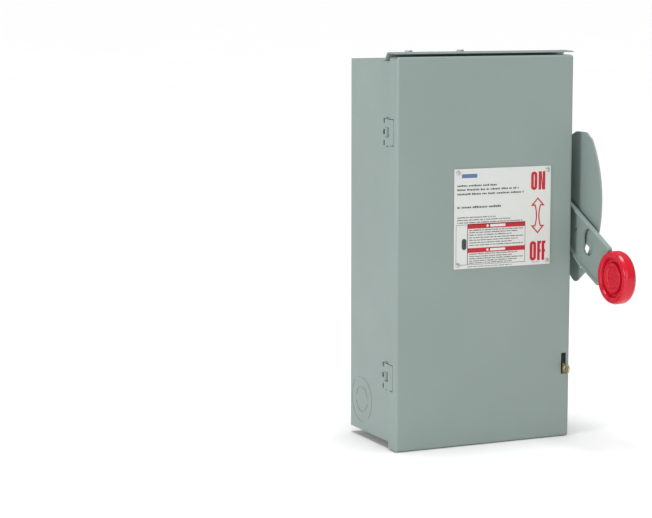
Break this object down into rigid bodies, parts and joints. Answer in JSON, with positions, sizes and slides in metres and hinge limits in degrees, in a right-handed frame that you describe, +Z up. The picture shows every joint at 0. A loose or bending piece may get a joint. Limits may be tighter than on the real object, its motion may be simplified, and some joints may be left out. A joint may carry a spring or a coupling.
{
  "type": "ac disconnect box",
  "caption": "Side-operated fused safety switch in a rainproof sheet-steel box, with a hinged door, padlock latch, red-knob lever and open-blade poles inside.",
  "frame": {"origin": "centre of the box's back face, on the wall", "axes": "+X to the right seen from the front, +Y into the wall, +Z up; the door faces -Y"},
  "size_m": [0.231, 0.2263, 0.4247],
  "materials": {
    "box_paint": "satin grey-green powder paint",
    "bright_zinc": "zinc-plated steel",
    "yellow_zinc": "yellow-passivated zinc",
    "label_plate": "satin white printed plate",
    "knob_red": "semi-gloss moulded red",
    "tin_copper": "tin-plated copper",
    "insulation": "moulded phenolic",
    "fuse_tube": "fibre tube with brass ferrules"
  },
  "bodies": {
    "box": {"bottom_endwall": "box_paint", "enclosure_wrapper": "box_paint", "fuse_1": "fuse_tube", "fuse_2": "fuse_tube", "fuse_3": "fuse_tube", "fuse_base": "insulation", "ground_lug": "tin_copper", "hinge_knuckle_lower": "bright_zinc", "hinge_knuckle_upper": "bright_zinc", "hinge_pin_lower": "bright_zinc", "hinge_pin_upper": "bright_zinc", "hub_cover_plate": "box_paint", "hub_screw_1": "bright_zinc", "hub_screw_2": "bright_zinc", "hub_screw_3": "bright_zinc", "hub_screw_4": "bright_zinc", "interlock_guide": "bright_zinc", "latch_bracket": "bright_zinc", "latch_pin": "bright_zinc", "line_base": "insulation", "line_terminal_1": "tin_copper", "line_terminal_2": "tin_copper", "line_terminal_3": "tin_copper", "load_terminal_1": "tin_copper", "load_terminal_2": "tin_copper", "load_terminal_3": "tin_copper", "lower_terminal_1": "tin_copper", "lower_terminal_2": "tin_copper", "lower_terminal_3": "tin_copper", "mechanism_frame": "bright_zinc", "padlock_quadrant": "box_paint", "quadrant_screw_1": "bright_zinc", "quadrant_screw_2": "bright_zinc", "rain_hood": "box_paint", "rotor_journal": "bright_zinc", "shaft_bushing": "bright_zinc", "switch_base": "insulation", "top_endwall": "box_paint"},
    "door": {"door_pan": "box_paint", "hinge_leaf_upper": "box_paint", "hinge_leaf_lower": "box_paint", "nameplate": "label_plate", "nameplate_rivet_1": "bright_zinc", "nameplate_rivet_2": "bright_zinc", "nameplate_rivet_3": "bright_zinc", "nameplate_rivet_4": "bright_zinc", "door_hook": "bright_zinc"},
    "handle": {"handle_lever": "box_paint", "handle_shaft": "bright_zinc", "shaft_retainer": "bright_zinc", "handle_knob": "knob_red", "knob_pin": "bright_zinc"},
    "rotor": {"rotor_crossbar": "insulation", "switch_blade_1": "tin_copper", "switch_blade_2": "tin_copper", "switch_blade_3": "tin_copper"},
    "interlock": {"interlock_bar": "bright_zinc"},
    "latch": {"latch_tongue": "yellow_zinc"}
  },
  "joints": [
    {"name": "door_swing", "type": "hinge", "parent": "box", "child": "door", "pos_m": [-0.103, -0.0916, 0], "axis": [0, 0, -1], "range_deg": [0, 110]},
    {"name": "handle_throw", "type": "hinge", "parent": "box", "child": "handle", "pos_m": [0, -0.04, 0.05], "axis": [-1, 0, 0], "range_deg": [0, 56]},
    {"name": "rotor_turn", "type": "hinge", "parent": "box", "child": "rotor", "pos_m": [0, -0.04, 0.05], "axis": [-1, 0, 0], "range_deg": [0, 72.85]},
    {"name": "interlock_lift", "type": "slide", "parent": "box", "child": "interlock", "axis": [0, 0, 1], "range_m": [0, 0.01695]},
    {"name": "latch_lift", "type": "hinge", "parent": "box", "child": "latch", "pos_m": [0.0984, -0.086, -0.1345], "axis": [-1, 0, 0], "range_deg": [0, 10], "stiffness_Nm_per_rad": 0.02, "springref_deg": -17.19}
  ],
  "couplings": [
    {"joint": "rotor_turn", "follows": "handle_throw", "ratio": 1.3},
    {"joint": "interlock_lift", "follows": "handle_throw", "m_per_rad": 0.017292}
  ]
}
